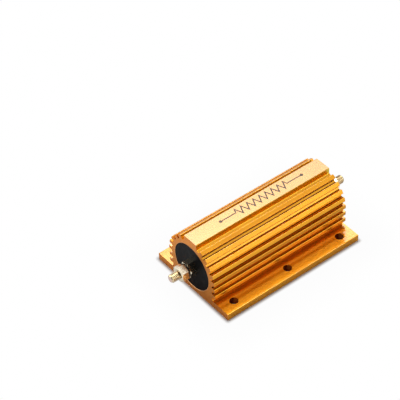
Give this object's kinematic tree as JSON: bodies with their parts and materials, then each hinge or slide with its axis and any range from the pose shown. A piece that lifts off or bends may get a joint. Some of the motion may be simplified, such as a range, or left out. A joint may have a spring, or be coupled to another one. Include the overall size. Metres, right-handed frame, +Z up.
{
  "type": "aluminium housed power resistor",
  "caption": "Wirewound power resistor in a finned, gold-anodised aluminium housing with a screw base and a threaded terminal stud at each end.",
  "frame": {"origin": "middle of the base's flat underside", "axes": "+X along the extruded housing and its terminals, +Z up through the top flat, +Y across the base"},
  "size_m": [0.144, 0.072, 0.044],
  "materials": {
    "anodised_housing": "gold anodised, satin, extruded",
    "ceramic": "matt fired ceramic",
    "resistance_wire": "dull drawn wire",
    "cast_filling": "matt mineral-filled compound",
    "ferrule_steel": "drawn sheet",
    "black_disc": "matt moulded",
    "plated_steel": "pale yellow-white plating, bright",
    "washer_steel": "dark spring steel"
  },
  "bodies": {
    "root": {"housing": "anodised_housing", "ceramic_core": "ceramic", "resistance_winding": "resistance_wire", "insulating_filling": "cast_filling", "left_ferrule": "ferrule_steel", "right_ferrule": "ferrule_steel", "left_end_disc": "black_disc", "right_end_disc": "black_disc", "left_terminal_stud": "plated_steel", "right_terminal_stud": "plated_steel", "left_inner_nut": "plated_steel", "right_inner_nut": "plated_steel", "left_spring_washer": "washer_steel", "right_spring_washer": "washer_steel", "left_terminal_nut": "plated_steel", "right_terminal_nut": "plated_steel"}
  },
  "joints": []
}
